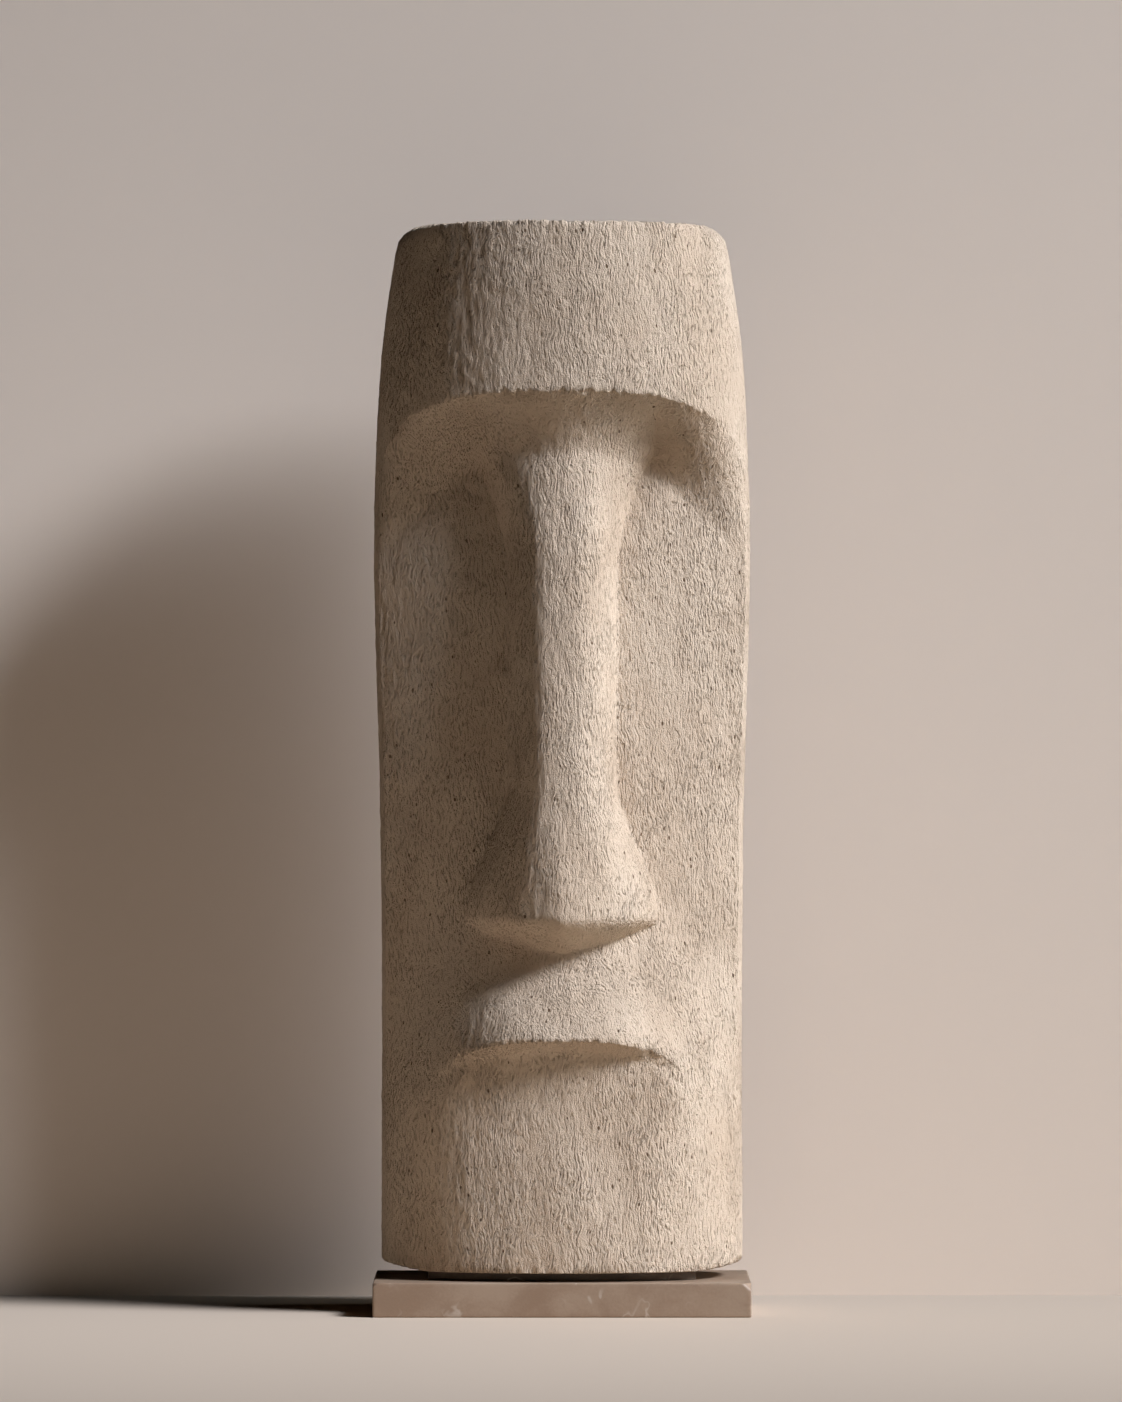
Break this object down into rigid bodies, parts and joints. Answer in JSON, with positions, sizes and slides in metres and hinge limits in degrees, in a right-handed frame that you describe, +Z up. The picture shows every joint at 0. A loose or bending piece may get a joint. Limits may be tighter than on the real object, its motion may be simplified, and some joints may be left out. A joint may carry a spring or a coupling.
{
  "type": "moai totem statue",
  "caption": "Tall carved stone head with an arched brow, long nose and lip ridge, on a thin riser and a rectangular stone plinth.",
  "frame": {"origin": "centre of the plinth's underside", "axes": "+Z up along the figure, the face looks along -Y, +X to the viewer's right"},
  "size_m": [0.2212, 0.1274, 0.6367],
  "materials": {
    "limestone": "finely tooled, matt",
    "riser_stone": "sawn, matt",
    "plinth_marble": "honed"
  },
  "bodies": {
    "root": {"figure": "limestone", "riser": "riser_stone", "plinth": "plinth_marble"}
  },
  "joints": []
}
